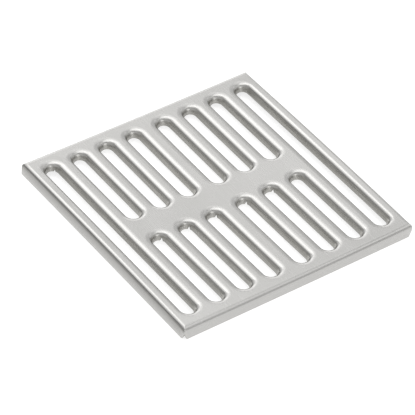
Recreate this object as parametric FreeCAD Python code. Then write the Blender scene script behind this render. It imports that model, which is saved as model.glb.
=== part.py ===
import FreeCAD, Part
import math
import os

# Square floor drain grate, folded and pressed from one stainless sheet, with four
# elastomer pads under its front and rear edges. Millimetres, +Z up. +X runs across the
# slots and +Y along them. The origin is the centre of the plane that the pads stand on.

SIDE = 150.0              # overall length and width of the sheet, over the flanges
SHEET = 1.2               # sheet thickness
PLATE_HEIGHT = 7.4        # top face to the lower edge of the flanges
EDGE_BEND = 3.0           # outer radius of the bend between top face and flange
CORNER_ROUND = 0.7        # rounding of the upright corners, seen from above
PAD_PROUD = 0.8           # how far the pads stand out below the flanges

SLOT_WIDTH = 7.0          # clear width between the slot walls, at their lower edges
RIM_DEPTH = 4.6           # top face to the lower edge of the rim
CROWN_RADIUS = 6.8        # the sheet first curves down gently towards a slot,
CROWN_TURN = 17.0         # for this many degrees,
SLOT_BEND = 2.9           # then more tightly, with this outer radius,
WALL_DRAFT = 18.0         # and ends in a straight wall, this many degrees off upright
SLOT_PITCH = 17.85        # from one column of slots to the next
CENTRE_PITCH = 20.0       # across the wider web in the middle
SHORT_COLUMNS = 3         # columns of short slots on each side of the middle
END_MARGIN = 10.0         # from the grate's edge to the end of a slot
BRIDGE = 18.0             # between the two rows of short slots

# The flanges meet in open seams, which widen towards their lower edges.
SEAM_CUT = 1.4            # how much a flange is shortened at a front corner, at its lower edge
SLIT_WIDTH = 0.3          # gap at a rear corner, at the lower edge
SEAM_TOP = EDGE_BEND      # the seams start where the edge bend ends

# Pressing the rims tears small V notches into their lower edge, in the slots' rear ends.
NOTCH_WIDTH = 1.3
NOTCH_HEIGHT = 1.2
NOTCH_TURN = 40.0         # degrees round the half-round end, from +X towards +Y
SMALL_NOTCH = 0.7         # the left long slot has a smaller tear, by this ratio

PAD_LENGTH = 20.0
PAD_WIDTH = 5.2
PAD_GAP = 0.1             # bond line between the pad and the flange
PAD_CORNER = 1.0          # rounding of the pad's upright edges
PAD_BEVEL = 1.8           # bevel of its long upper edges
PAD_FROM_SIDE = 8.0       # from the grate's side to the near end of the pad

TOP = PLATE_HEIGHT + PAD_PROUD
HALF_SIDE = SIDE / 2
HALF_SLOT = SLOT_WIDTH / 2
REACH = 1.0               # how far a cutting tool stands out past what it cuts

X_AXIS = FreeCAD.Vector(1, 0, 0)
Y_AXIS = FreeCAD.Vector(0, 1, 0)
Z_AXIS = FreeCAD.Vector(0, 0, 1)


def point(x, y, z):
    return FreeCAD.Vector(x, y, z)


def face_from(edges):
    return Part.Face(Part.Wire(edges))


def arc(start, middle, end):
    return Part.Arc(start, middle, end).toShape()


def on_circle(centre_x, centre_z, radius, degrees):
    """A point in the XZ plane, on a circle, counted from +X towards +Z."""
    turn = math.radians(degrees)
    return point(centre_x + radius * math.cos(turn), 0, centre_z + radius * math.sin(turn))


def arched_bar(half_width, top, bend, bottom):
    """A bar along Y with its two upper edges rounded, standing on z = bottom."""
    left, right = -half_width, half_width
    bend_z = top - bend
    edges = [
        Part.makeLine(point(left, 0, bottom), point(right, 0, bottom)),
        Part.makeLine(point(right, 0, bottom), point(right, 0, bend_z)),
        arc(
            point(right, 0, bend_z),
            on_circle(right - bend, bend_z, bend, 45),
            point(right - bend, 0, top),
        ),
        Part.makeLine(point(right - bend, 0, top), point(left + bend, 0, top)),
        arc(
            point(left + bend, 0, top),
            on_circle(left + bend, bend_z, bend, 135),
            point(left, 0, bend_z),
        ),
        Part.makeLine(point(left, 0, bend_z), point(left, 0, bottom)),
    ]
    bar = face_from(edges).extrude(point(0, 2 * half_width, 0))
    bar.translate(point(0, -half_width, 0))
    return bar


def folded_block(half_width, top, bend, bottom):
    """The block that the folded sheet encloses: rounded top edges that meet in mitres."""
    along_y = arched_bar(half_width, top, bend, bottom)
    along_x = along_y.copy()
    along_x.rotate(point(0, 0, 0), Z_AXIS, 90)
    return along_y.common(along_x)


def rounded_prism(x_size, y_size, radius, bottom, top):
    """A rectangular block centred on Z with its upright edges rounded."""
    block = Part.makeBox(x_size, y_size, top - bottom, point(-x_size / 2, -y_size / 2, bottom))
    upright = [edge for edge in block.Edges if edge.Vertexes[0].X == edge.Vertexes[1].X
               and edge.Vertexes[0].Y == edge.Vertexes[1].Y]
    return block.makeFillet(radius, upright)


def folded_shell():
    """Top sheet and four flanges, before any slot is pressed."""
    outside = folded_block(HALF_SIDE, TOP, EDGE_BEND, PAD_PROUD)
    outside = outside.common(rounded_prism(SIDE, SIDE, CORNER_ROUND, PAD_PROUD, TOP))
    inside = folded_block(HALF_SIDE - SHEET, TOP - SHEET, EDGE_BEND - SHEET, PAD_PROUD - REACH)
    return outside.cut(inside)


def seam_wedge(start, cut):
    """A wedge through the rear flange near its +X end, which narrows to nothing at the top.

    It takes the flange away from x = start - cut, at the flange's lower edge, to x = start.
    """
    low = PAD_PROUD - REACH
    high = TOP - SEAM_TOP
    width = cut * (high - low) / (PLATE_HEIGHT - SEAM_TOP)
    edges = [
        Part.makeLine(point(start - width, 0, low), point(start, 0, low)),
        Part.makeLine(point(start, 0, low), point(start, 0, high)),
        Part.makeLine(point(start, 0, high), point(start - width, 0, low)),
    ]
    wedge = face_from(edges).extrude(point(0, 2 * SHEET + REACH, 0))
    wedge.translate(point(0, HALF_SIDE - 2 * SHEET, 0))
    return wedge


def corner_seams():
    """The seams on the right-hand side, then the same ones mirrored to the left.

    At the front both flanges stop short of the corner. At the rear the side flange runs
    through, and the rear flange butts against its inner face with a narrow slit.
    """
    across = seam_wedge(HALF_SIDE, SEAM_CUT)
    front_notch = across.common(across.mirror(point(0, 0, 0), point(1, -1, 0)))
    front_notch = front_notch.mirror(point(0, 0, 0), Y_AXIS)
    rear_slit = seam_wedge(HALF_SIDE - SHEET, SLIT_WIDTH)
    right = [front_notch, rear_slit]
    return right + [cut.mirror(point(0, 0, 0), X_AXIS) for cut in right]


def rim_arcs():
    """Where a slot rim's two bends are centred, with the slot's middle at x = 0.

    Returns both centres, and the distance from the slot's middle to the flat sheet.
    """
    crown_top = on_circle(0, 0, CROWN_RADIUS, 90)
    crown_end = on_circle(0, 0, CROWN_RADIUS, 90 + CROWN_TURN)
    bend_centre = crown_end - on_circle(0, 0, SLOT_BEND, 90 + CROWN_TURN)
    bend_end = bend_centre + on_circle(0, 0, SLOT_BEND, 180 - WALL_DRAFT)
    wall_height = RIM_DEPTH - (crown_top.z - bend_end.z)
    wall_run = wall_height * math.tan(math.radians(WALL_DRAFT))
    shift = point(HALF_SLOT + wall_run - bend_end.x, 0, TOP - CROWN_RADIUS)
    return shift, bend_centre + shift, shift.x


def rim_profile():
    """Section of a slot rim in the XZ plane, with the slot's middle at x = 0."""
    crown, bend, flat_x = rim_arcs()
    turned = 90 + CROWN_TURN
    upright = 180 - WALL_DRAFT

    def crown_arc(radius):
        return arc(
            on_circle(crown.x, crown.z, radius, 90),
            on_circle(crown.x, crown.z, radius, (90 + turned) / 2),
            on_circle(crown.x, crown.z, radius, turned),
        )

    def bend_arc(radius):
        return arc(
            on_circle(bend.x, bend.z, radius, turned),
            on_circle(bend.x, bend.z, radius, (turned + upright) / 2),
            on_circle(bend.x, bend.z, radius, upright),
        )

    outer_end = on_circle(bend.x, bend.z, SLOT_BEND, upright)
    inner_end = on_circle(bend.x, bend.z, SLOT_BEND - SHEET, upright)
    edge = point(HALF_SLOT, 0, TOP - RIM_DEPTH)
    # The lower edge is cut square to the sheet, so its back corner lies deeper.
    back_edge = edge + inner_end - outer_end
    return face_from([
        crown_arc(CROWN_RADIUS),
        bend_arc(SLOT_BEND),
        Part.makeLine(outer_end, edge),
        Part.makeLine(edge, back_edge),
        Part.makeLine(back_edge, inner_end),
        bend_arc(SLOT_BEND - SHEET),
        crown_arc(CROWN_RADIUS - SHEET),
        Part.makeLine(point(flat_x, 0, TOP - SHEET), point(flat_x, 0, TOP)),
    ])


def slot_rim(x, front, rear):
    """The turned-down rim round one slot: two straight sides and two half-round ends."""
    first = front + HALF_SLOT
    last = rear - HALF_SLOT
    profile = rim_profile()
    side = profile.extrude(point(0, last - first, 0))
    side.translate(point(0, first, 0))
    other_side = side.mirror(point(0, 0, 0), X_AXIS)
    rear_end = profile.revolve(point(0, 0, 0), Z_AXIS, 180)
    rear_end.translate(point(0, last, 0))
    front_end = profile.revolve(point(0, 0, 0), Z_AXIS, -180)
    front_end.translate(point(0, first, 0))
    rim = side.fuse([other_side, rear_end, front_end])
    rim.translate(point(x, 0, 0))
    return rim


def slot_hole(x, front, rear):
    """What a slot and its rim take out of the flat sheet."""
    half_width = rim_arcs()[2]
    first = front + HALF_SLOT
    last = rear - HALF_SLOT
    bottom = TOP - SHEET - REACH
    height = SHEET + 2 * REACH
    hole = Part.makeBox(2 * half_width, last - first, height, point(-half_width, first, bottom))
    for y in (first, last):
        hole = hole.fuse(Part.makeCylinder(half_width, height, point(0, y, bottom)))
    hole.translate(point(x, 0, 0))
    return hole


def slot_layout():
    """Every slot as (x, front end, rear end), the two rows of short slots first."""
    inner = BRIDGE / 2
    outer = HALF_SIDE - END_MARGIN
    offsets = [CENTRE_PITCH / 2 + column * SLOT_PITCH for column in range(SHORT_COLUMNS)]
    columns = [-offset for offset in reversed(offsets)] + offsets
    front_row = [(x, -outer, -inner) for x in columns]
    rear_row = [(x, inner, outer) for x in columns]
    long_x = CENTRE_PITCH / 2 + SHORT_COLUMNS * SLOT_PITCH
    long_slots = [(-long_x, -outer, outer), (long_x, -outer, outer)]
    return front_row, rear_row, long_slots


def notch(x, rear, scale):
    """A V cut upwards through the lower edge of the rim, in the slot's rear end."""
    half_width = scale * NOTCH_WIDTH / 2
    low = TOP - RIM_DEPTH
    tip = low + scale * NOTCH_HEIGHT
    below = low - REACH
    spread = half_width * (tip - below) / (tip - low)
    # Drawn across the +X direction from the middle of the half-round end, then turned.
    edges = [
        Part.makeLine(point(0, -spread, below), point(0, spread, below)),
        Part.makeLine(point(0, spread, below), point(0, 0, tip)),
        Part.makeLine(point(0, 0, tip), point(0, -spread, below)),
    ]
    wedge = face_from(edges).extrude(point(2 * SHEET, 0, 0))
    wedge.translate(point(HALF_SLOT - SHEET / 2, 0, 0))
    wedge.rotate(point(0, 0, 0), Z_AXIS, NOTCH_TURN)
    wedge.translate(point(x, rear - HALF_SLOT, 0))
    return wedge


def grate_plate():
    front_row, rear_row, long_slots = slot_layout()
    slots = front_row + rear_row + long_slots
    plate = folded_shell()
    plate = plate.cut([slot_hole(*slot) for slot in slots])
    plate = plate.fuse([slot_rim(*slot) for slot in slots])
    torn = [notch(x, rear, 1.0) for x, front, rear in front_row[:-1]]
    torn.append(notch(long_slots[0][0], long_slots[0][2], SMALL_NOTCH))
    plate = plate.cut(torn + corner_seams())
    return plate.removeSplitter()


def pad(x_sign, y_sign):
    """An upright strip of elastomer behind the front or rear flange, near a corner."""
    height = TOP - SHEET
    outer = PAD_WIDTH / 2
    block = rounded_prism(PAD_LENGTH, PAD_WIDTH, PAD_CORNER, 0, height)
    # Both upper edges are bevelled, to clear the edge bend and the curve of the slot rims.
    edges = [
        Part.makeLine(point(0, outer - PAD_BEVEL, height), point(0, outer, height)),
        Part.makeLine(point(0, outer, height), point(0, outer, height - PAD_BEVEL)),
        Part.makeLine(point(0, outer, height - PAD_BEVEL), point(0, outer - PAD_BEVEL, height)),
    ]
    corner = face_from(edges).extrude(point(PAD_LENGTH, 0, 0))
    corner.translate(point(-PAD_LENGTH / 2, 0, 0))
    block = block.cut([corner, corner.mirror(point(0, 0, 0), Y_AXIS)])
    block.translate(point(
        HALF_SIDE - PAD_FROM_SIDE - PAD_LENGTH / 2,
        HALF_SIDE - SHEET - PAD_GAP - outer,
        0,
    ))
    if x_sign < 0:
        block = block.mirror(point(0, 0, 0), X_AXIS)
    if y_sign < 0:
        block = block.mirror(point(0, 0, 0), Y_AXIS)
    return block


def save(name, shape):
    solids = shape.Solids
    if len(solids) != 1 or not solids[0].isValid():
        raise ValueError(name + " is not one valid solid")
    solids[0].exportStep(os.path.join("parts", name + ".step"))
    box = solids[0].BoundBox
    print(name, round(solids[0].Volume / 1000, 3), "cm3", box)


def main():
    os.makedirs("parts", exist_ok=True)
    save("grate_plate", grate_plate())
    for y_sign, row in ((-1, "front"), (1, "rear")):
        for x_sign, side in ((-1, "left"), (1, "right")):
            save("pad_" + row + "_" + side, pad(x_sign, y_sign))


main()
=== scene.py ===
import math

import bmesh
import bpy
import mathutils
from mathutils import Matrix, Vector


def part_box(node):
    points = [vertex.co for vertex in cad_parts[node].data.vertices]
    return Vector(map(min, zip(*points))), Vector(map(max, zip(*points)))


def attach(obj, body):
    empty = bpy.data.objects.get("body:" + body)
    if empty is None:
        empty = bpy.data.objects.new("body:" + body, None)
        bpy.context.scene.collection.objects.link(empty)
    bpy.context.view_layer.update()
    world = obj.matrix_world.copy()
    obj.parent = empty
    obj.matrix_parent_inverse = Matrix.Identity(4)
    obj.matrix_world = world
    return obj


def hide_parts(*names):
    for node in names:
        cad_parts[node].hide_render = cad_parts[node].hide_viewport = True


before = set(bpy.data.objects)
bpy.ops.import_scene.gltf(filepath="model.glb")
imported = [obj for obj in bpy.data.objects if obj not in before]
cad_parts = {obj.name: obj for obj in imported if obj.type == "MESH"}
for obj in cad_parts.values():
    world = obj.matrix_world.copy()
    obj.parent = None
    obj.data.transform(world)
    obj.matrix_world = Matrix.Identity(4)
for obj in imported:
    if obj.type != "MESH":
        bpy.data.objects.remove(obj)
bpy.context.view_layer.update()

# Floor drain grate: one folded and pressed stainless sheet on four elastomer pads.
# Shapes are drawn in millimetres and scaled to metres when each mesh is made.

MM = 0.001

# ---------------------------------------------------------------- driving dimensions, mm
SHEET = 1.2               # sheet thickness
EDGE_BEND = 3.0           # outer radius of the bend between top face and front or rear flange
SIDE_BEND = 2.3           # the same for the left or right flange
CORNER_ROUND = 0.7        # rounding of the upright corners, seen from above
SLOT_WIDTH = 7.0          # clear width between the slot walls, at their lower edges
RIM_DEPTH = 4.6           # top face to the lower edge of the rim
CROWN_RADIUS = 6.8        # the sheet first curves down gently towards a slot,
CROWN_TURN = 17.0         # for this many degrees,
SLOT_BEND = 2.9           # then more tightly,
WALL_DRAFT = 18.0         # and ends in a straight wall, this many degrees off upright
BORDER_CROWN = 2.9        # crown radius beside the left and right edges, as tight as the bend
SLOT_PITCH = 17.85        # between the middle lines of neighbouring slots,
CENTRE_PITCH = 20.0       # and of the two columns nearest the middle
SHORT_COLUMNS = 3         # columns of short slots on each side of the middle
END_MARGIN = 10.0         # slot ends to the outside of the grate
BRIDGE = 18.0             # between the front and the rear row of short slots
SEAM_CUT = 2.1            # how much a flange is shortened at a front corner
SLIT_WIDTH = 0.3          # gap at a rear corner, at the lower edge
NOTCH_WIDTH = 1.5         # V-shaped tears in the lower edge of some rims
NOTCH_HEIGHT = 1.6
NOTCH_TURN = 40.0         # place of a tear, in degrees from +X round a slot's rear end
SMALL_NOTCH = 0.7         # size of the left long slot's tear, compared with the others
EDGE_ROUND = 0.12         # sheared edges are slightly rounded
PAD_CORNER = 1.0          # rounding of a pad's upright edges,
PAD_CORNER_SHARE = 0.6    # but never more than this share of half its width
PAD_BEVEL = 1.8           # bevel of its long upper edges,
PAD_BEVEL_EASE = 0.12     # which starts with this much already taken off
PAD_END_DRAFT = (0.05, 0.15, 0.35)     # how far its ends lean in, up the bevel
PAD_EDGE = 0.4            # rounding of its lower edges
PARTING_SHARE = 0.45      # height of the mould's parting line, as a share of the pad's
PARTING_RIDGE = 0.08      # how far the mould's parting line stands out
GROOVE_PITCH = 2.5        # cross grooves under a pad
GROOVE_WIDTH = 0.9
GROOVE_DEPTH = 0.45
FLANGE_LOW = 0.25         # the photographed flanges reach lower than the CAD model's,
FLANGE_FLATNESS = 0.55    # and their lower edges are straighter than the top sheet

# ---------------------------------------------------------------- fineness of the meshes
SUPPORT = 0.08            # width of the flat band kept along each bend, for clean shading, mm
STRAIGHT_STEP = 4.0       # spacing along straight bends, mm
TURN_STEPS = 36           # round each half-round slot end
EDGE_STEPS = 3            # round the corner of a cut edge
CORNER_STEPS = 6          # round an upright corner
CROWN_STEPS = 6           # down a rim's crown
UNDER_CROWN_STEPS = 5     # and beneath it
BEND_STEPS = 16           # down a rim's tighter bend
UNDER_BEND_STEPS = 10     # and beneath it
FLANGE_STEPS = 18         # down the edge bend
UNDER_FLANGE_STEPS = 12   # and beneath it
PAD_EDGE_TURNS = (0, 30, 60, 90)       # round a pad's lower edges, degrees
GRID_STEP = 2.2           # spacing of the points in the flat sheet, mm,
GRID_MARGIN = 0.7         # which keep this far from its borders
POINT_TOLERANCE = 0.0001  # points of the flat sheet nearer than this are one, mm
CHORD_MARGIN = 0.003      # clearance when telling slots from sheet, mm
WELD_DISTANCE = 0.004     # rims and flanges are welded to the flat sheet at this distance, mm
SHARP_STEEL = 32          # edges that turn more than this are shaded sharp, degrees
SHARP_RUBBER = 40

# ---------------------------------------------------------------- wear of the sheet's surface, and painted shade
WALL_DULL_AND_SHADE_GAIN = 1.8          # how fast the slot walls turn dull, and darker with painted shade, as they grow steeper,
WALL_DULL_AND_SHADE_LEAN = 0.88         # from where the normal's upright part is this
LEFT_RIGHT_BEND_SHADE = 0.8           # strength of the painted shade band along the bends: left and right,
FRONT_REAR_BEND_SHADE = 0.16       # and front and rear
LEFT_RIGHT_BEND_SHADE_BAND = (0.45, 0.6, 1.7, 0.7)     # where each band lies: see band()
FRONT_REAR_BEND_SHADE_BAND = (0.1, 0.5, 2.0, 0.5)
FLANGE_DARKENING = 0.12        # darkens the flanges all over, most where they stand upright
FLAT_NORMAL = 0.95        # a normal more upright than this counts as flat sheet
WALL_SHADE_LINE = 0.45          # strength of the painted shade lines along a slot's wall,
WALL_SHADE_LINE_DEPTH = 1.0     # one this far down, in its bend, mm,
WALL_SHADE_LINE_HALF = 0.65     # and this far to each side of it, mm,
WALL_SHADE_EDGE_DEPTH = 3.2     # and one from here to the lower edge, mm,
WALL_SHADE_EDGE_FADE = 0.8      # which takes this far to reach its strength, mm,
WALL_SHADE_EDGE_SHARE = 0.7     # compared with the line in the bend
END_SHINE = 0.3           # how much of the slot walls' dullness and painted shade is missing at the round ends

SHEET_FACE, SHEARED = 0, 1     # material slots of the sheet

plate_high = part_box("grate_plate")[1] / MM
HALF_SIDE = plate_high.x
TOP = plate_high.z
PLATE_HEIGHT = TOP - FLANGE_LOW        # top face to the lower edges of the flanges
HALF_SLOT = SLOT_WIDTH / 2
EDGE_START = HALF_SIDE - EDGE_BEND     # where the edge bend leaves the flat sheet

# The pressed sheet isn't quite flat. How far it lies above the plane of its four corners, in mm,
# as a least-squares fit to the outline and the slots in the photograph:
SAG_ALONG_X = -0.49       # in the middle of the front and rear edges
SAG_ALONG_Y = 0.74        # in the middle of the left and right edges
SAG_MIDDLE = -1.83        # in the middle of the sheet, on top of the other two


def dish(x, y):
    """How far the top sheet lies above the plane of its four corners."""
    u = 1 - (x / HALF_SIDE) ** 2
    v = 1 - (y / HALF_SIDE) ** 2
    return SAG_ALONG_X * u + SAG_ALONG_Y * v + SAG_MIDDLE * u * v


def on_flange(x, y):
    return max(abs(x), abs(y)) > EDGE_START


def lift(x, y, z):
    """How far a point of the flat design is moved up by the dish, which fades down the flanges."""
    depth = max(0.0, (-z - EDGE_BEND) / (PLATE_HEIGHT - EDGE_BEND)) if on_flange(x, y) else 0.0
    return dish(x, y) * (1.0 - FLANGE_FLATNESS * depth)


# ---------------------------------------------------------------- mesh helpers
def on_circle(centre, radius, degrees):
    turn = math.radians(degrees)
    return centre[0] + radius * math.cos(turn), centre[1] + radius * math.sin(turn)


def arc(centre, radius, start, end, steps):
    """Points along part of a circle, both ends included."""
    return [on_circle(centre, radius, start + (end - start) * step / steps)
            for step in range(steps + 1)]


def span(first, last, step):
    """Evenly spaced values from first to last, both included, about step apart."""
    count = max(1, round(abs(last - first) / step))
    return [first + (last - first) * i / count for i in range(count + 1)]


def slot_layout():
    """Every slot as (x, front end, rear end, size of its tear)."""
    inner = BRIDGE / 2
    outer = HALF_SIDE - END_MARGIN
    offsets = [CENTRE_PITCH / 2 + column * SLOT_PITCH for column in range(SHORT_COLUMNS)]
    columns = [-offset for offset in reversed(offsets)] + offsets
    slots = [(x, inner, outer, 0.0) for x in columns]
    slots += [(x, -outer, -inner, 1.0) for x in columns[:-1]]
    slots.append((columns[-1], -outer, -inner, 0.0))
    long_x = CENTRE_PITCH / 2 + SHORT_COLUMNS * SLOT_PITCH
    slots.append((-long_x, -outer, outer, SMALL_NOTCH))
    slots.append((long_x, -outer, outer, 0.0))
    return slots


def slot_stations(x, front, rear):
    """Places round a slot, as the point that the rim is drawn from and its direction outward."""
    rear_end, front_end = rear - HALF_SLOT, front + HALF_SLOT
    stations = []
    for here, other, start, side in ((rear_end, front_end, 0.0, -1.0),
                                     (front_end, rear_end, 180.0, 1.0)):
        for step in range(TURN_STEPS + 1):
            turn = math.radians(start + 180.0 * step / TURN_STEPS)
            stations.append((x, here, math.cos(turn), math.sin(turn)))
        stations += [(x, y, side, 0.0) for y in span(here, other, STRAIGHT_STEP)[1:-1]]
    return stations


def rim_arcs(crown_radius):
    """Centres of a slot rim's two bends, counted outward from the slot's middle line."""
    crown = (0.0, -crown_radius)
    crown_end = on_circle(crown, crown_radius, 90 + CROWN_TURN)
    bend = on_circle(crown_end, -SLOT_BEND, 90 + CROWN_TURN)
    bend_end = on_circle(bend, SLOT_BEND, 180 - WALL_DRAFT)
    wall_run = (RIM_DEPTH + bend_end[1]) * math.tan(math.radians(WALL_DRAFT))
    shift = HALF_SLOT + wall_run - bend_end[0]
    return (shift, crown[1]), (bend[0] + shift, bend[1])


BEND_START = rim_arcs(CROWN_RADIUS)[0][0]      # where a slot's rim leaves the flat sheet


def rim_profile(crown_radius):
    """Section of a slot rim, from the top sheet down round its lower edge and back beneath."""
    crown_centre, bend_centre = rim_arcs(crown_radius)
    turned = 90 + CROWN_TURN
    upright = 180 - WALL_DRAFT
    edge = EDGE_ROUND
    # The lower edge is cut square to the sheet. Its two corners are slightly rounded.
    corner = on_circle(on_circle((HALF_SLOT, -RIM_DEPTH), edge, 90 - WALL_DRAFT), -edge, upright)
    back_corner = on_circle(corner, 2 * edge - SHEET, upright)
    profile = [(BEND_START + SUPPORT, 0.0)]
    profile += arc(crown_centre, crown_radius, 90, turned, CROWN_STEPS)
    profile += arc(bend_centre, SLOT_BEND, turned, upright, BEND_STEPS)[1:]
    profile += arc(corner, edge, upright, upright + 90, EDGE_STEPS)
    profile += arc(back_corner, edge, upright + 90, upright + 180, EDGE_STEPS)
    profile += arc(bend_centre, SLOT_BEND - SHEET, upright, turned, UNDER_BEND_STEPS)
    profile += arc(crown_centre, crown_radius - SHEET, turned, 90, UNDER_CROWN_STEPS)[1:]
    profile.append((BEND_START + SUPPORT, -SHEET))
    return profile


def flange_profile(bend):
    """Section of the edge bend and flange, outward from where the flat sheet ends."""
    centre = (EDGE_BEND - bend, -bend)
    low = -PLATE_HEIGHT
    inner = EDGE_BEND - SHEET
    edge = EDGE_ROUND
    profile = [(-SUPPORT, 0.0)]
    profile += arc(centre, bend, 90, 0, FLANGE_STEPS)
    profile += arc((EDGE_BEND - edge, low + edge), edge, 0, -90, EDGE_STEPS)
    profile += arc((inner + edge, low + edge), edge, -90, -180, EDGE_STEPS)
    profile += arc(centre, bend - SHEET, 0, 90, UNDER_FLANGE_STEPS)
    profile.append((-SUPPORT, -SHEET))
    return profile


def square_ring(half, rounding):
    """Points round a square, with the same count whatever its size and corner rounding."""
    ring = []
    along = span(-1.0, 1.0, STRAIGHT_STEP / EDGE_START)
    for side in range(4):
        turn = math.radians(90.0 * side)
        straight = [(half, at * (half - rounding)) for at in along[:-1]]
        round_part = arc((half - rounding, half - rounding), rounding, 0, 90, CORNER_STEPS)
        for x, y in straight + round_part[:-1]:
            ring.append((x * math.cos(turn) - y * math.sin(turn),
                         x * math.sin(turn) + y * math.cos(turn)))
    return ring


def add_rings(mesh, rings, outward_up, sheared=()):
    """Joins closed rings of points into a band of faces. Each ring is a list of (x, y, z).

    Bands that start at a ring numbered in sheared are a cut edge of the sheet.
    """
    rows = [[mesh.verts.new(co) for co in ring] for ring in rings]
    for number, (upper, lower) in enumerate(zip(rows, rows[1:])):
        count = len(upper)
        for i in range(count):
            j = (i + 1) % count
            corners = (upper[i], upper[j], lower[j], lower[i])
            face = mesh.faces.new(corners if outward_up else tuple(reversed(corners)))
            face.material_index = SHEARED if number in sheared else SHEET_FACE


def edge_bands(profile):
    """Numbers of the bands between a profile's two lower corners: the sheet's cut edge."""
    lengths = [math.dist(a, b) for a, b in zip(profile, profile[1:])]
    flat = SHEET - 2 * EDGE_ROUND
    middle = min(range(len(lengths)), key=lambda i: abs(lengths[i] - flat))
    return range(middle - EDGE_STEPS, middle + EDGE_STEPS + 1)


def add_slot_rim(mesh, slot):
    """The turned-down rim of one slot. A long slot's has a tighter crown on its outer side."""
    x, front, rear = slot[:3]
    stations = slot_stations(x, front, rear)
    beside_edge = abs(x) > SHORT_COLUMNS * SLOT_PITCH
    outer_side = math.copysign(1.0, x)
    profile = rim_profile(CROWN_RADIUS)
    rings = []
    for (out, z), (border_out, border_z) in zip(profile, rim_profile(BORDER_CROWN)):
        ring = []
        for cx, cy, dx, dy in stations:
            share = max(0.0, outer_side * dx) ** 2 if beside_edge else 0.0
            reach = out + (border_out - out) * share
            ring.append((cx + reach * dx, cy + reach * dy, z + (border_z - z) * share))
        rings.append(ring)
    add_rings(mesh, rings, outward_up=True, sheared=edge_bands(profile))


def add_flange(mesh):
    """The four edge bends and flanges, as one band round the sheet."""
    rings = []
    profile = flange_profile(EDGE_BEND)
    for (out, z), (side_out, side_z) in zip(profile, flange_profile(SIDE_BEND)):
        rounding = CORNER_ROUND * max(0.0, out) / EDGE_BEND
        widen = (EDGE_START + side_out) / (EDGE_START + out)
        ring = []
        for x, y in square_ring(EDGE_START + out, rounding):
            # 1 on the left and right sides, 0 at the front and rear, and between on the corners.
            share = 0.5 + (abs(x) - abs(y)) / (2 * max(rounding, EDGE_ROUND))
            share = min(1.0, max(0.0, share))
            ring.append((x * widen, y, z + (side_z - z) * share))
        rings.append(ring)
    add_rings(mesh, rings, outward_up=False, sheared=edge_bands(profile))


def inside_slot(x, y, slots, reach):
    """Whether a point is nearer than reach to the middle line of any slot."""
    for slot_x, front, rear, _ in slots:
        nearest = min(max(y, front + HALF_SLOT), rear - HALF_SLOT)
        if math.hypot(x - slot_x, y - nearest) < reach:
            return True
    return False


def add_flat_sheet(mesh, slots):
    """Top and underside of the sheet between the bends, as triangles."""
    reach = BEND_START + SUPPORT
    points, edges = [], []

    def add_loop(loop):
        first = len(points)
        points.extend(mathutils.Vector(p) for p in loop)
        count = len(loop)
        edges.extend((first + i, first + (i + 1) % count) for i in range(count))

    border = EDGE_START - SUPPORT
    ring = square_ring(border, 0.0)
    add_loop([p for p, before in zip(ring, ring[-1:] + ring) if math.dist(p, before) > EDGE_ROUND])
    for slot in slots:
        add_loop([(cx + reach * dx, cy + reach * dy)
                  for cx, cy, dx, dy in slot_stations(*slot[:3])])
    grid = span(-border + GRID_MARGIN, border - GRID_MARGIN, GRID_STEP)
    for x in grid:
        for y in grid:
            if not inside_slot(x, y, slots, reach + GRID_MARGIN):
                points.append(mathutils.Vector((x, y)))
    triangles = mathutils.geometry.delaunay_2d_cdt(points, edges, [], 0, POINT_TOLERANCE)
    flat, _, faces, _, _, _ = triangles
    # A triangle is in a slot if its middle is nearer than the chords of the slot's round ends.
    within = reach * math.cos(math.radians(90 / TURN_STEPS)) - CHORD_MARGIN
    upper = [mesh.verts.new((p.x, p.y, 0.0)) for p in flat]
    lower = [mesh.verts.new((p.x, p.y, -SHEET)) for p in flat]
    for face in faces:
        middle = sum((flat[i] for i in face), mathutils.Vector((0.0, 0.0))) / len(face)
        if not inside_slot(middle.x, middle.y, slots, within):
            mesh.faces.new([upper[i] for i in face])
            mesh.faces.new([lower[i] for i in reversed(face)])


def prism(mesh, triangle, thickness):
    """A closed triangular prism: three points and the vector it is pushed along."""
    near = [mesh.verts.new(p) for p in triangle]
    far = [mesh.verts.new(p + thickness) for p in triangle]
    mesh.faces.new(near)
    mesh.faces.new(list(reversed(far)))
    for i in range(3):
        j = (i + 1) % 3
        mesh.faces.new((near[j], near[i], far[i], far[j]))


def make_object(name, mesh, materials=()):
    data = bpy.data.meshes.new(name)
    bmesh.ops.recalc_face_normals(mesh, faces=mesh.faces)
    mesh.to_mesh(data)
    mesh.free()
    for material in materials:
        data.materials.append(material)
    obj = bpy.data.objects.new(name, data)
    bpy.context.scene.collection.objects.link(obj)
    return obj


def cutter_object(name, mesh, materials):
    """A cutter whose cuts come out as sheared edges."""
    for face in mesh.faces:
        face.material_index = SHEARED
    return make_object(name, mesh, materials)


def notch_cutters(slots, materials):
    """V-shaped tears in the rims, at the same turn round each torn slot's rear end."""
    mesh = bmesh.new()
    turn = mathutils.Matrix.Rotation(math.radians(NOTCH_TURN), 3, "Z")
    below = -RIM_DEPTH - SHEET
    start = HALF_SLOT - SHEET / 2
    for x, _, rear, scale in slots:
        if scale == 0.0:
            continue
        tip = -RIM_DEPTH + scale * NOTCH_HEIGHT
        spread = scale * NOTCH_WIDTH / 2 * (tip - below) / (tip + RIM_DEPTH)
        middle = mathutils.Vector((x, rear - HALF_SLOT, 0.0))
        triangle = [middle + turn @ mathutils.Vector(p) for p in (
            (start, -spread, below), (start, spread, below), (start, 0.0, tip))]
        prism(mesh, triangle, turn @ mathutils.Vector((2 * SHEET, 0.0, 0.0)))
    return cutter_object("notch_cutters", mesh, materials)


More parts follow.
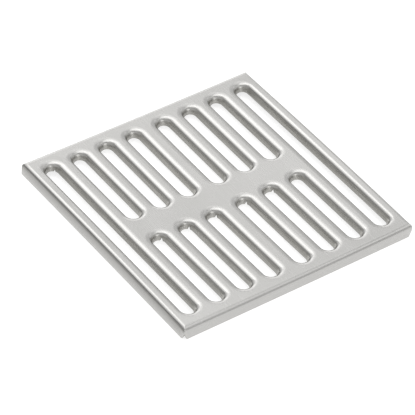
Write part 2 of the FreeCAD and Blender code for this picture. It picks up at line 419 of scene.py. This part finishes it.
def seam_cutters(materials):
    """Open corners: a growing square notch at the front, a slit in the rear flange behind."""
    mesh = bmesh.new()
    low = -PLATE_HEIGHT - SHEET
    high = -EDGE_BEND
    fall = (high - low) / (PLATE_HEIGHT - EDGE_BEND)
    for side in (-1.0, 1.0):
        # Front: a pyramid whose tip is on the corner where the bend ends.
        tip = mesh.verts.new((side * HALF_SIDE, -HALF_SIDE, high))
        cut = SEAM_CUT * fall
        base = [mesh.verts.new((side * (HALF_SIDE - a), -HALF_SIDE + b, low))
                for a, b in ((cut, cut), (cut, -SHEET), (-SHEET, -SHEET), (-SHEET, cut))]
        rim = [mesh.verts.new((side * (HALF_SIDE + a), -HALF_SIDE - b, high))
               for a, b in ((0.0, SHEET), (SHEET, SHEET), (SHEET, 0.0))]
        mesh.faces.new(base)
        mesh.faces.new((tip, rim[0], rim[1], rim[2]))
        mesh.faces.new((tip, base[0], base[1], rim[0]))
        mesh.faces.new((rim[0], base[1], base[2], rim[1]))
        mesh.faces.new((rim[1], base[2], base[3], rim[2]))
        mesh.faces.new((rim[2], base[3], base[0], tip))
        # Rear: a thin wedge beside the side flange.
        start = HALF_SIDE - SHEET
        triangle = [mathutils.Vector((side * a, HALF_SIDE - 2 * SHEET, b))
                    for a, b in ((start - SLIT_WIDTH * fall, low), (start, low), (start, high))]
        prism(mesh, triangle, mathutils.Vector((0.0, 3 * SHEET, 0.0)))
    return cutter_object("seam_cutters", mesh, materials)


def cut_away(obj, cutter):
    """Subtracts cutter from obj for good, then drops the cutter."""
    modifier = obj.modifiers.new("cut", "BOOLEAN")
    modifier.operation = "DIFFERENCE"
    modifier.solver = "EXACT"
    modifier.object = cutter
    evaluated = obj.evaluated_get(bpy.context.evaluated_depsgraph_get())
    data = bpy.data.meshes.new_from_object(evaluated)
    obj.modifiers.remove(modifier)
    obj.data = data
    bpy.data.objects.remove(cutter)


def mark_sharp_edges(obj, degrees):
    """Shades obj smooth, except across edges that turn at least this many degrees."""
    mesh = bmesh.new()
    mesh.from_mesh(obj.data)
    for face in mesh.faces:
        face.smooth = True
    limit = math.radians(degrees)
    for edge in mesh.edges:
        edge.smooth = edge.calc_face_angle(0.0) < limit
    mesh.to_mesh(obj.data)
    mesh.free()


def make_plate(materials):
    """The whole sheet: flat parts, rims and flanges welded into one mesh, then cut and dished."""
    slots = slot_layout()
    mesh = bmesh.new()
    add_flat_sheet(mesh, slots)
    for slot in slots:
        add_slot_rim(mesh, slot)
    add_flange(mesh)
    bmesh.ops.remove_doubles(mesh, verts=mesh.verts, dist=WELD_DISTANCE)
    plate = make_object("pressed_grate", mesh, materials)
    cut_away(plate, notch_cutters(slots, materials))
    cut_away(plate, seam_cutters(materials))
    for vertex in plate.data.vertices:
        x, y, z = vertex.co
        vertex.co = (x * MM, y * MM, (z + TOP + lift(x, y, z)) * MM)
    mark_sharp_edges(plate, SHARP_STEEL)
    return plate


# ---------------------------------------------------------------- materials
class Surface:
    """A material's node tree, with short ways to add the nodes that this scene uses."""

    def __init__(self, name):
        self.material = bpy.data.materials.new(name)
        self.material.use_nodes = True
        self.nodes = self.material.node_tree.nodes
        self.links = self.material.node_tree.links
        self.shader = self.nodes["Principled BSDF"]
        self.place = self.nodes.new("ShaderNodeTexCoord").outputs["Object"]

    def noise(self, scale, detail=2.0, roughness=0.5):
        """Noise with its own scale along X, Y and Z, in cycles per metre. Mostly 0.3 to 0.7."""
        mapping = self.nodes.new("ShaderNodeMapping")
        mapping.inputs["Scale"].default_value = scale
        self.links.new(self.place, mapping.inputs["Vector"])
        texture = self.nodes.new("ShaderNodeTexNoise")
        texture.inputs["Scale"].default_value = 1.0
        texture.inputs["Detail"].default_value = detail
        texture.inputs["Roughness"].default_value = roughness
        self.links.new(mapping.outputs["Vector"], texture.inputs["Vector"])
        return texture.outputs["Fac"]

    def remap(self, value, low, high, to_low, to_high):
        node = self.nodes.new("ShaderNodeMapRange")
        for name, number in (("From Min", low), ("From Max", high),
                             ("To Min", to_low), ("To Max", to_high)):
            node.inputs[name].default_value = number
        self.links.new(value, node.inputs["Value"])
        return node.outputs["Result"]

    def math(self, operation, first, second):
        node = self.nodes.new("ShaderNodeMath")
        node.operation = operation
        for socket, value in zip(node.inputs, (first, second)):
            if isinstance(value, (int, float)):
                socket.default_value = value
            else:
                self.links.new(value, socket)
        return node.outputs["Value"]

    def blend(self, factor, first, second):
        """A colour between two colours."""
        node = self.nodes.new("ShaderNodeMix")
        node.data_type = "RGBA"
        self.links.new(factor, node.inputs["Factor"])
        for socket, colour in zip((node.inputs[6], node.inputs[7]), (first, second)):
            if isinstance(colour, tuple):
                socket.default_value = colour + (1.0,)
            else:
                self.links.new(colour, socket)
        return node.outputs[2]

    def attribute(self, name):
        node = self.nodes.new("ShaderNodeAttribute")
        node.attribute_name = name
        return node.outputs["Fac"]

    def bump(self, height, depth, under=None):
        """Relief of the given depth in metres, on top of another relief if there is one."""
        node = self.nodes.new("ShaderNodeBump")
        node.inputs["Strength"].default_value = 1.0
        node.inputs["Distance"].default_value = depth
        self.links.new(height, node.inputs["Height"])
        if under is not None:
            self.links.new(under, node.inputs["Normal"])
        return node.outputs["Normal"]

    def use(self, socket, value):
        self.links.new(value, self.shader.inputs[socket])


def stainless_material():
    """Cold-rolled sheet: satin, with a fine grain along the slots.

    The bends are buffed by handling. The slot walls are stretched in pressing, which leaves them
    rough and streaked, and their colour is darkened as painted shade. Painted shade bands also
    darken the edge bends, with lines down the slot walls.
    """
    steel = Surface("satin_stainless")
    grain = steel.noise((5200, 90, 5200), detail=3.0)
    streak = steel.noise((1100, 16, 1100), detail=2.0)
    mottle = steel.noise((65, 65, 65), detail=2.0)
    draw_marks = steel.noise((1500, 70, 2400), detail=2.0)
    scratch = steel.remap(steel.noise((3400, 24, 3400), detail=1.0), 0.70, 0.76, 0.0, 1.0)
    worn = steel.attribute("worn")
    drawn_and_shaded = steel.attribute("drawn_and_shaded")
    bend_and_wall_shade = steel.attribute("bend_and_wall_shade")

    rough = steel.remap(grain, 0.3, 0.7, 0.245, 0.265)
    for change in (steel.remap(mottle, 0.3, 0.7, -0.025, 0.025),
                   steel.math("MULTIPLY", worn, -0.04),
                   steel.math("MULTIPLY", drawn_and_shaded, 0.16),
                   steel.math("MULTIPLY", bend_and_wall_shade, 0.08),
                   steel.math("MULTIPLY", scratch, 0.10)):
        rough = steel.math("ADD", rough, change)
    steel.use("Roughness", rough)

    tone = steel.math("ADD", steel.remap(mottle, 0.25, 0.75, 0.0, 0.6),
                      steel.remap(streak, 0.3, 0.7, 0.0, 0.4))
    colour = steel.blend(tone, (0.540, 0.534, 0.520), (0.570, 0.565, 0.553))
    # The slot walls' colour is darkened towards this streaked grey: real streaks, and painted shade.
    dull = steel.blend(steel.remap(draw_marks, 0.35, 0.65, 0.0, 1.0),
                       (0.33, 0.323, 0.299), (0.50, 0.492, 0.462))
    colour = steel.blend(steel.math("MULTIPLY", drawn_and_shaded, 0.8), colour, dull)
    # Painted shade: dark bands along the edge bends and dark lines down the slot walls.
    colour = steel.blend(bend_and_wall_shade, colour, (0.14, 0.137, 0.128))
    colour = steel.blend(steel.math("MULTIPLY", scratch, 0.5), colour, (0.64, 0.635, 0.625))
    steel.use("Base Color", colour)
    steel.shader.inputs["Metallic"].default_value = 1.0

    relief = steel.bump(grain, 0.0000001)
    relief = steel.bump(mottle, 0.00002, relief)
    relief = steel.bump(steel.math("MULTIPLY", draw_marks, drawn_and_shaded), 0.00002, relief)
    steel.use("Normal", relief)
    return steel.material


def sheared_material():
    """A cut edge of the sheet: half smooth shear, half dull fracture, with fine burrs."""
    edge = Surface("sheared_steel")
    tear = edge.noise((1500, 1500, 500), detail=4.0)
    lines = edge.noise((4200, 4200, 160), detail=2.0)
    edge.use("Roughness", edge.remap(tear, 0.35, 0.65, 0.32, 0.55))
    edge.use("Base Color", edge.blend(edge.remap(tear, 0.4, 0.6, 0.0, 1.0),
                                      (0.40, 0.39, 0.37), (0.56, 0.55, 0.53)))
    edge.shader.inputs["Metallic"].default_value = 1.0
    relief = edge.bump(lines, 0.000012)
    edge.use("Normal", edge.bump(tear, 0.00003, relief))
    return edge.material


def rubber_material():
    """Moulded black elastomer, slightly dusty, with a fine matte texture."""
    rubber = Surface("black_elastomer")
    dust = rubber.noise((240, 240, 240), detail=5.0)
    grit = rubber.noise((5200, 5200, 5200), detail=3.0)
    flow = rubber.noise((55, 420, 420), detail=2.0)
    colour = rubber.blend(rubber.remap(dust, 0.45, 0.75, 0.0, 0.55),
                          (0.018, 0.018, 0.019), (0.060, 0.059, 0.056))
    rubber.use("Base Color", colour)
    rough = rubber.math("ADD", rubber.remap(grit, 0.3, 0.7, 0.50, 0.66),
                        rubber.remap(flow, 0.3, 0.7, -0.06, 0.08))
    rubber.use("Roughness", rough)
    relief = rubber.bump(grit, 0.000022)
    rubber.use("Normal", rubber.bump(dust, 0.00005, relief))
    return rubber.material


# ---------------------------------------------------------------- the object
def add_attribute(plate, name, value_at):
    """Stores a number from 0 to 1 at every vertex, for the materials to read."""
    attribute = plate.data.attributes.new(name, "FLOAT", "POINT")
    for vertex, item in zip(plate.data.vertices, attribute.data):
        item.value = min(1.0, max(0.0, value_at(vertex.co / MM, vertex.normal)))


def worn(place, normal):
    """Handling has buffed the upper side of the bends, most where they lean 60 degrees."""
    return 4.0 * normal.z * (1.0 - normal.z)


def beside_end(normal):
    """1 on a slot's straight walls, and less towards its round ends, which get less dullness and
    less painted shade.
    """
    sideways = max(normal.x ** 2 + normal.y ** 2, 0.001)     # never zero
    return 1.0 - END_SHINE * normal.y ** 2 / sideways


def drawn_and_shaded(place, normal):
    """The slot walls are stretched, and so rough and streaked; the same value darkens their colour
    as painted shade.
    """
    if on_flange(place.x, place.y):
        return 0.0
    return WALL_DULL_AND_SHADE_GAIN * (WALL_DULL_AND_SHADE_LEAN - abs(normal.z)) * beside_end(normal)


def band(down, first, rise, last, fall):
    """A band that starts at the depth first, takes rise to reach 1, and falls off below last."""
    return max(0.0, min((down - first) / rise, 1.0, 1.0 - fall * (down - last)))


def bend_and_wall_shade(place, normal):
    """Painted shade: dark bands along the edge bends, deepest at the left and right flanges, dark
    lines down the slot walls, and flanges a little darker all over.
    """
    down = TOP + dish(place.x, place.y) - place.z
    if on_flange(place.x, place.y):
        deep = LEFT_RIGHT_BEND_SHADE * band(down, *LEFT_RIGHT_BEND_SHADE_BAND)
        shallow = FRONT_REAR_BEND_SHADE * band(down, *FRONT_REAR_BEND_SHADE_BAND)
        bands = deep * normal.x ** 2 + shallow * normal.y ** 2
        return bands + FLANGE_DARKENING * (1.0 - normal.z ** 2)
    if abs(normal.z) > FLAT_NORMAL:
        return 0.0
    in_bend = 1.0 - abs(down - WALL_SHADE_LINE_DEPTH) / WALL_SHADE_LINE_HALF
    near_edge = min(1.0, (down - WALL_SHADE_EDGE_DEPTH) / WALL_SHADE_EDGE_FADE)
    return WALL_SHADE_LINE * max(0.0, in_bend, WALL_SHADE_EDGE_SHARE * near_edge) * beside_end(normal)


steel_surfaces = (stainless_material(), sheared_material())
plate = make_plate(steel_surfaces)
for name, value_at in (("worn", worn), ("drawn_and_shaded", drawn_and_shaded), ("bend_and_wall_shade", bend_and_wall_shade)):
    add_attribute(plate, name, value_at)
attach(plate, "root")
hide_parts("grate_plate")


def pad_ring(half_x, half_y, rounding, z):
    """Points round a rectangle with rounded corners, at one height, with a fixed count."""
    ring = []
    for number, (sx, sy) in enumerate(((1, 1), (-1, 1), (-1, -1), (1, -1))):
        centre = (sx * (half_x - rounding), sy * (half_y - rounding))
        ring += arc(centre, rounding, 90 * number, 90 * number + 90, CORNER_STEPS)
    return [(x, y, z) for x, y in ring]


def groove_cutters(half):
    """Shallow V grooves across the underside of a pad."""
    mesh = bmesh.new()
    start = -half.y - 1
    # The V is as deep below the pad as it is in it, so at the pad's face it is GROOVE_WIDTH wide.
    for x in span(-half.x + GROOVE_PITCH, half.x - GROOVE_PITCH, GROOVE_PITCH):
        triangle = [mathutils.Vector(p) for p in (
            (x - GROOVE_WIDTH, start, -GROOVE_DEPTH), (x + GROOVE_WIDTH, start, -GROOVE_DEPTH),
            (x, start, GROOVE_DEPTH))]
        prism(mesh, triangle, mathutils.Vector((0.0, -2 * start, 0.0)))
    return make_object("groove_cutters", mesh)


def make_pad(node, material):
    """A moulded strip with rounded edges, a parting line and cross grooves underneath."""
    low, high = (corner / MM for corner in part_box(node))
    middle = (low + high) / 2
    half = (high - low) / 2
    height = high.z
    mesh = bmesh.new()
    levels = []     # each as how far the ends and the sides are set in, and the height
    for turn in PAD_EDGE_TURNS:
        inset = PAD_EDGE * (1 - math.sin(math.radians(turn)))
        levels.append((inset, inset, PAD_EDGE * (1 - math.cos(math.radians(turn)))))
    parting = PARTING_SHARE * height
    levels += [(0.0, 0.0, parting - PARTING_RIDGE), (-PARTING_RIDGE, -PARTING_RIDGE, parting),
               (0.0, 0.0, parting + PARTING_RIDGE)]
    bevel_low = height - PAD_BEVEL
    low_draft, bevel_draft, top_draft = PAD_END_DRAFT
    levels += [(0.0, 0.0, bevel_low - PAD_EDGE), (low_draft, PAD_BEVEL_EASE, bevel_low),
               (bevel_draft, PAD_BEVEL - PAD_EDGE, height - PAD_EDGE),
               (top_draft, PAD_BEVEL, height)]
    rows = []
    for inset_x, inset_y, z in levels:
        half_x, half_y = half.x - PARTING_RIDGE - inset_x, half.y - PARTING_RIDGE - inset_y
        ring = pad_ring(half_x, half_y, min(PAD_CORNER, PAD_CORNER_SHARE * half_y), z)
        rows.append([mesh.verts.new(co) for co in ring])
    count = len(rows[0])
    for lower, upper in zip(rows, rows[1:]):
        for i in range(count):
            j = (i + 1) % count
            mesh.faces.new((lower[i], lower[j], upper[j], upper[i]))
    mesh.faces.new(list(reversed(rows[0])))
    mesh.faces.new(rows[-1])
    pad = make_object(node.replace("pad_", "rubber_pad_"), mesh, (material,))
    cut_away(pad, groove_cutters(half))
    for vertex in pad.data.vertices:
        x, y, z = vertex.co
        x, y = x + middle.x, y + middle.y
        vertex.co = (x * MM, y * MM, z * (1 + dish(x, y) / height) * MM)
    mark_sharp_edges(pad, SHARP_RUBBER)
    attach(pad, "root")
    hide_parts(node)


rubber = rubber_material()
for node in sorted(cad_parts):
    if node.startswith("pad_"):
        make_pad(node, rubber)

# ---------------------------------------------------------------- floor, light and camera
scene = bpy.context.scene
scene.view_settings.view_transform = "Standard"


def make_floor():
    """A white tabletop, wide enough to fill the picture from any side."""
    half = 2.0     # metres
    mesh = bmesh.new()
    mesh.faces.new([mesh.verts.new((x, y, 0.0)) for x, y in
                    ((-half, -half), (half, -half), (half, half), (-half, half))])
    paper = Surface("white_tabletop")
    paper.shader.inputs["Base Color"].default_value = (0.45, 0.45, 0.45, 1.0)
    paper.shader.inputs["Roughness"].default_value = 0.9
    paper.shader.inputs["Emission Color"].default_value = (1.0, 1.0, 1.0, 1.0)
    paper.shader.inputs["Emission Strength"].default_value = 0.75
    make_object("floor", mesh, (paper.material,))


make_floor()

world = bpy.data.worlds.new("studio")
world.use_nodes = True
world.node_tree.nodes["Background"].inputs["Color"].default_value = (1.0, 1.0, 1.0, 1.0)
world.node_tree.nodes["Background"].inputs["Strength"].default_value = 0.42
scene.world = world


def softbox(name, azimuth, elevation, distance, size, radiance):
    """A square soft light that faces the grate.

    Azimuth, counted from +X towards +Y, and elevation are in degrees, distance and size in metres.
    """
    a, e = math.radians(azimuth), math.radians(elevation)
    direction = mathutils.Vector((math.cos(a) * math.cos(e), math.sin(a) * math.cos(e), math.sin(e)))
    data = bpy.data.lights.new(name, "AREA")
    data.size = size
    data.energy = radiance * math.pi * size ** 2
    lamp = bpy.data.objects.new(name, data)
    lamp.location = direction * distance
    lamp.rotation_euler = direction.to_track_quat("Z", "Y").to_euler()
    lamp.visible_camera = False
    scene.collection.objects.link(lamp)


# These began as a least-squares fit to the brightness of the photographed steel. They were then
# rounded, and changed.
softbox("overhead_softbox", 90, 80, 1.5, 2.0, 0.5)
softbox("top_softbox", 0, 90, 1.5, 1.0, 0.7)
softbox("high_rear_softbox", 95, 62, 1.5, 0.8, 0.85)
softbox("rear_softbox", 90, 30, 1.8, 1.5, 0.5)
softbox("rear_right_softbox", 45, 32, 1.8, 1.9, 0.33)
softbox("low_rear_softbox", 60, 18, 1.5, 0.8, 0.6)
softbox("right_softbox", -15, 28, 1.8, 1.5, 0.5)
softbox("high_front_softbox", -75, 68, 1.5, 0.8, 0.4)
softbox("front_right_softbox", -55, 44, 1.5, 0.8, 0.6)
softbox("front_softbox", -90, 18, 1.5, 0.8, 1.35)
softbox("low_front_softbox", -60, 12, 1.5, 0.6, 0.4)
softbox("front_left_softbox", -130, 35, 1.8, 1.5, 0.35)
softbox("rear_left_softbox", 132, 40, 1.5, 0.6, 0.55)
softbox("left_softbox", 178, 30, 1.8, 1.5, 0.3)


def make_camera():
    """The camera stands to the front left and above, turned slightly about its own axis.

    Its numbers are a least-squares fit to the grate's edges and slots in the photograph.
    """
    azimuth, elevation, roll = (math.radians(v) for v in (-39.89, 42.09, 5.62))
    distance = 1.5923
    aside, above = 4.81 * MM, 7.55 * MM     # the grate's middle lies off the picture's middle
    back = mathutils.Vector((math.sin(azimuth) * math.cos(elevation),
                             -math.cos(azimuth) * math.cos(elevation), math.sin(elevation)))
    level = mathutils.Vector((math.cos(azimuth), math.sin(azimuth), 0.0))
    up = back.cross(level)
    right = math.cos(roll) * level + math.sin(roll) * up
    top = math.cos(roll) * up - math.sin(roll) * level
    data = bpy.data.cameras.new("camera")
    data.sensor_width = 36.0     # millimetres, like the lens
    data.lens = 258.98
    data.clip_start = 0.01
    data.clip_end = 20.0
    camera = bpy.data.objects.new("camera", data)
    place = mathutils.Vector((0.0, 0.0, TOP * MM)) + distance * back - aside * right - above * top
    turn = mathutils.Matrix((right, top, back)).transposed().to_4x4()
    camera.matrix_world = mathutils.Matrix.Translation(place) @ turn
    scene.collection.objects.link(camera)
    scene.camera = camera


make_camera()
